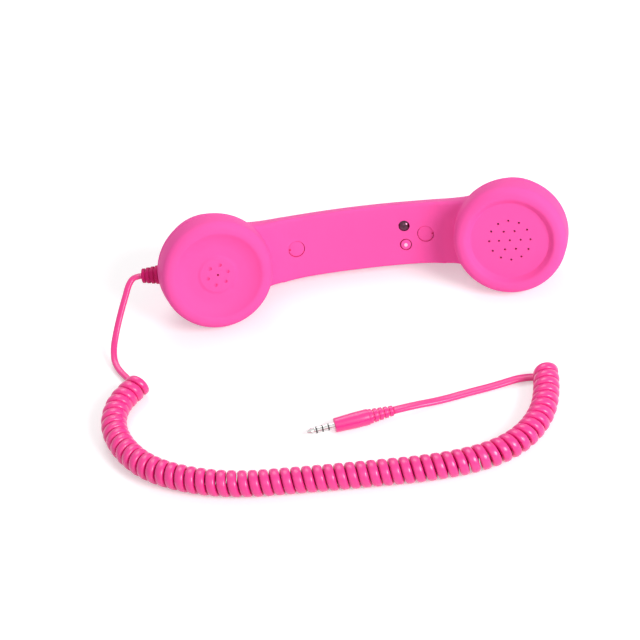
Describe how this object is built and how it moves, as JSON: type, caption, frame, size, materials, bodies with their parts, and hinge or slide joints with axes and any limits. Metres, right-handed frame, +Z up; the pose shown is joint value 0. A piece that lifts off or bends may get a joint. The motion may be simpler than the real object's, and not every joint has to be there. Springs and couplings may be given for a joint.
{
  "type": "telephone handset with curly cord",
  "caption": "Retro pink telephone handset lying on its side, with a curly cord that ends in a four-pole jack plug and two small press buttons on the inner face of its handle.",
  "frame": {"origin": "middle of the bottom of the handset's box, on the surface that it lies on", "axes": "+X along the handle towards the listening end, -Y the way both faces look, +Z up"},
  "size_m": [0.2518, 0.191, 0.0614],
  "materials": {
    "soft_pink": "soft-touch painted plastic",
    "cord_pink": "glossy flexible cord jacket",
    "relief_magenta": "satin moulded rubber",
    "dark_chrome": "dark polished plating",
    "pale_pip": "gloss",
    "plug_metal": "bright nickel plating",
    "plug_black": "matte",
    "steel": "zinc plated",
    "black_plastic": "matte",
    "grey_gauze": "woven gauze",
    "foam": "soft",
    "paper_cone": "thin film",
    "magnet_steel": "plated",
    "capsule_metal": "satin",
    "board_green": "lacquered laminate",
    "wire_red": "thin wire jacket"
  },
  "bodies": {
    "handset": {"front_shell": "soft_pink", "back_shell": "soft_pink", "earpiece_cap": "soft_pink", "mouthpiece_cap": "soft_pink", "screw_cover_mouth_end": "soft_pink", "screw_cover_ear_end": "soft_pink", "earpiece_gauze": "grey_gauze", "mouthpiece_gauze": "grey_gauze", "speaker_gasket": "foam", "speaker_frame": "black_plastic", "speaker_magnet": "magnet_steel", "speaker_cone": "paper_cone", "microphone_capsule": "capsule_metal", "microphone_boot": "foam", "case_screws": "steel", "answer_switch": "black_plastic", "mute_switch": "black_plastic", "circuit_board": "board_green", "board_screws": "steel", "handle_weight": "steel", "weight_screws": "steel", "cord_gland": "relief_magenta", "cord_curls": "cord_pink", "handset_lead": "cord_pink", "plug_lead": "cord_pink", "cord_tail": "cord_pink", "plug_relief": "relief_magenta", "plug_grip": "cord_pink", "plug_sleeve": "plug_metal", "plug_ring_two": "plug_metal", "plug_ring_one": "plug_metal", "plug_tip": "plug_metal", "plug_insulators": "plug_black", "microphone_wires": "wire_red", "speaker_wires": "wire_red"},
    "answer_key": {"answer_button": "dark_chrome", "answer_plunger": "black_plastic"},
    "mute_key": {"mute_button": "soft_pink", "mute_pip": "pale_pip", "mute_plunger": "black_plastic"}
  },
  "joints": [
    {"name": "answer_press", "type": "slide", "parent": "handset", "child": "answer_key", "axis": [0.1114, 0.9451, -0.3071], "range_m": [0, 0.0006], "stiffness_N_per_m": 900},
    {"name": "mute_press", "type": "slide", "parent": "handset", "child": "mute_key", "axis": [0.1114, 0.9451, -0.3071], "range_m": [0, 0.0006], "stiffness_N_per_m": 900}
  ]
}
